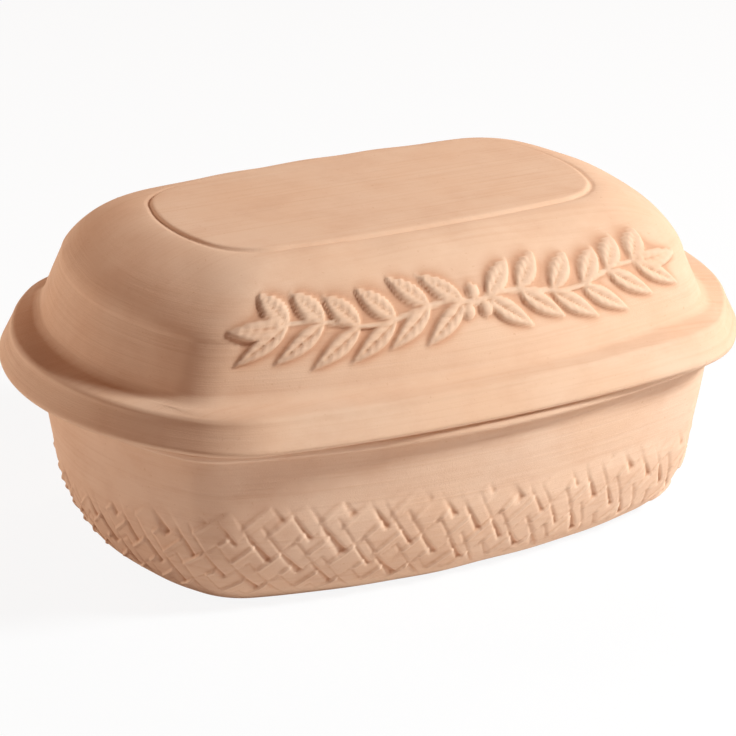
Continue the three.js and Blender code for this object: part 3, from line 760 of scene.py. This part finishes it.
def clay_material(name, pale, deep, dust_and_highlight):
    """Unglazed clay: mottled, streaked by the smoothing tool, with painted shade in hollows and a
    painted highlight on ridges.
    """
    material = bpy.data.materials.new(name)
    material.use_nodes = True
    nodes = material.node_tree.nodes
    links = material.node_tree.links
    shader = nodes["Principled BSDF"]
    shader.inputs["Roughness"].default_value = CLAY_ROUGHNESS
    shader.inputs["Specular IOR Level"].default_value = CLAY_SPECULAR
    place = nodes.new("ShaderNodeTexCoord")

    def noise(scale, detail, roughness, stretch):
        mapping = nodes.new("ShaderNodeMapping")
        mapping.inputs["Scale"].default_value = stretch
        texture = nodes.new("ShaderNodeTexNoise")
        texture.inputs["Scale"].default_value = scale
        texture.inputs["Detail"].default_value = detail
        texture.inputs["Roughness"].default_value = roughness
        links.new(place.outputs["Object"], mapping.inputs["Vector"])
        links.new(mapping.outputs["Vector"], texture.inputs["Vector"])
        return texture.outputs["Fac"]

    def ranged(value, low, high, to_low, to_high):
        node = nodes.new("ShaderNodeMapRange")
        node.inputs["From Min"].default_value = low
        node.inputs["From Max"].default_value = high
        node.inputs["To Min"].default_value = to_low
        node.inputs["To Max"].default_value = to_high
        links.new(value, node.inputs["Value"])
        return node.outputs["Result"]

    def mixed(share, first, second):
        node = nodes.new("ShaderNodeMix")
        node.data_type = "RGBA"
        links.new(share, node.inputs["Factor"])
        for socket, value in (("A", first), ("B", second)):
            target = colour_socket(node.inputs, socket)
            if isinstance(value, tuple):
                target.default_value = (*value, 1.0)
            else:
                links.new(value, target)
        return colour_socket(node.outputs, "Result")

    def added(first, second, weight):
        node = nodes.new("ShaderNodeMath")
        node.operation = "MULTIPLY_ADD"
        node.inputs[1].default_value = weight
        links.new(second, node.inputs[0])
        links.new(first, node.inputs[2])
        return node.outputs["Value"]

    mottle = noise(*MOTTLE)
    clouds = noise(*CLOUDS)
    around = noise(*STREAKS_AROUND)
    lengthwise = noise(*STREAKS_LENGTHWISE)
    grain = noise(*GRAIN)
    specks = noise(*SPECKS)

    facing = nodes.new("ShaderNodeNewGeometry")
    split = nodes.new("ShaderNodeSeparateXYZ")
    links.new(facing.outputs["Normal"], split.inputs["Vector"])
    flat = ranged(split.outputs["Z"], *FLAT_FACES)
    streaks = nodes.new("ShaderNodeMix")
    links.new(flat, streaks.inputs["Factor"])
    links.new(around, streaks.inputs["A"])
    links.new(lengthwise, streaks.inputs["B"])
    streak = streaks.outputs["Result"]

    cavity = nodes.new("ShaderNodeAttribute")
    cavity.attribute_name = "cavity"
    # Painted shade: darker colour in the hollows of the relief, where shade falls.
    hollow_shade = ranged(cavity.outputs["Fac"], *HOLLOW_SHADE)
    # Painted highlight: paler colour on the ridges of the relief, as lit edges look.
    ridge_highlight = ranged(cavity.outputs["Fac"], *RIDGE_HIGHLIGHT)

    colour = mixed(ranged(mottle, *DUST), pale, dust_and_highlight)
    colour = mixed(ranged(clouds, *DARK_CLOUDS), colour, deep)
    colour = mixed(ranged(streak, *DARK_STREAKS), colour, deep)
    colour = mixed(ranged(streak, *PALE_STREAKS), colour, dust_and_highlight)
    colour = mixed(ranged(specks, *DARK_SPECKS), colour, deep)
    colour = mixed(hollow_shade, colour, deep)
    colour = mixed(ridge_highlight, colour, dust_and_highlight)
    links.new(colour, shader.inputs["Base Color"])

    height = added(ranged(streak, *STREAK_HEIGHTS), grain, GRAIN_WEIGHT)
    bump = nodes.new("ShaderNodeBump")
    bump.inputs["Strength"].default_value = BUMP_STRENGTH
    bump.inputs["Distance"].default_value = BUMP_DEPTH_METRES
    links.new(height, bump.inputs["Height"])
    links.new(bump.outputs["Normal"], shader.inputs["Normal"])
    return material


# Studio

def aim(thing, target):
    direction = Vector(target) - thing.location
    thing.rotation_euler = direction.to_track_quat("-Z", "Y").to_euler()


def view_direction(azimuth, elevation):
    a = math.radians(azimuth)
    e = math.radians(elevation)
    return Vector((math.sin(a) * math.cos(e), -math.cos(a) * math.cos(e), math.sin(e)))


def add_camera():
    data = bpy.data.cameras.new("camera")
    data.lens = LENS
    data.sensor_width = SENSOR
    data.clip_end = VIEW_FAR_METRES
    camera = bpy.data.objects.new("camera", data)
    target = Vector(VIEW_TARGET) * MM
    camera.location = target + view_direction(VIEW_AZIMUTH, VIEW_ELEVATION) * VIEW_DISTANCE * MM
    aim(camera, target)
    bpy.context.scene.collection.objects.link(camera)
    bpy.context.scene.camera = camera


def add_lamp(name, azimuth, elevation, size, power, colour):
    data = bpy.data.lights.new(name, "AREA")
    data.shape = "DISK"
    data.size = size
    data.energy = power
    data.color = colour
    lamp = bpy.data.objects.new(name, data)
    target = Vector(LAMP_TARGET)
    lamp.location = target + view_direction(azimuth, elevation) * LAMP_DISTANCE
    aim(lamp, target)
    bpy.context.scene.collection.objects.link(lamp)


def seen_directly(tree):
    """1 for rays from the camera, a reflection or a transmission, and 0 for diffuse light."""
    path = tree.nodes.new("ShaderNodeLightPath")
    total = path.outputs["Is Camera Ray"]
    for kind in ("Is Glossy Ray", "Is Transmission Ray"):
        node = tree.nodes.new("ShaderNodeMath")
        node.operation = "MAXIMUM"
        tree.links.new(total, node.inputs[0])
        tree.links.new(path.outputs[kind], node.inputs[1])
        total = node.outputs["Value"]
    return total


def studio_material():
    """A floor that takes shadows, and that shows almost white where it is seen."""
    material = bpy.data.materials.new("studio_white")
    material.use_nodes = True
    nodes = material.node_tree.nodes
    links = material.node_tree.links
    nodes.clear()
    paint = nodes.new("ShaderNodeBsdfDiffuse")
    paint.inputs["Color"].default_value = FLOOR_COLOUR
    glow = nodes.new("ShaderNodeEmission")
    seen = nodes.new("ShaderNodeMath")
    seen.operation = "MULTIPLY"
    seen.inputs[1].default_value = FLOOR_GLOW
    mix = nodes.new("ShaderNodeMixShader")
    output = nodes.new("ShaderNodeOutputMaterial")
    links.new(seen_directly(material.node_tree), seen.inputs[0])
    links.new(seen.outputs["Value"], mix.inputs["Fac"])
    links.new(paint.outputs["BSDF"], mix.inputs[1])
    links.new(glow.outputs["Emission"], mix.inputs[2])
    links.new(mix.outputs["Shader"], output.inputs["Surface"])
    return material


def add_floor():
    mesh = bpy.data.meshes.new("floor")
    half = FLOOR_HALF
    corners = [(-half, -half, 0.0), (half, -half, 0.0), (half, half, 0.0), (-half, half, 0.0)]
    mesh.from_pydata(corners, [], [(0, 1, 2, 3)])
    floor = bpy.data.objects.new("floor", mesh)
    mesh.materials.append(studio_material())
    bpy.context.scene.collection.objects.link(floor)


def add_world():
    """White where it is seen, and a dim warm light on the pot."""
    world = bpy.data.worlds.new("studio")
    world.use_nodes = True
    nodes = world.node_tree.nodes
    links = world.node_tree.links
    background = nodes["Background"]
    tint = nodes.new("ShaderNodeMix")
    tint.data_type = "RGBA"
    colour_socket(tint.inputs, "A").default_value = (*AMBIENT_COLOUR, 1.0)
    colour_socket(tint.inputs, "B").default_value = (*BACKDROP_COLOUR, 1.0)
    links.new(seen_directly(world.node_tree), tint.inputs["Factor"])
    links.new(colour_socket(tint.outputs, "Result"), background.inputs["Color"])
    bpy.context.scene.world = world


make_base(clay_material("base_clay", **BASE_COLOURS))
make_lid(clay_material("lid_clay", **LID_COLOURS))
add_camera()
add_floor()
add_world()
for lamp in LAMPS:
    add_lamp(*lamp)

scene = bpy.context.scene
scene.view_settings.view_transform = "Standard"
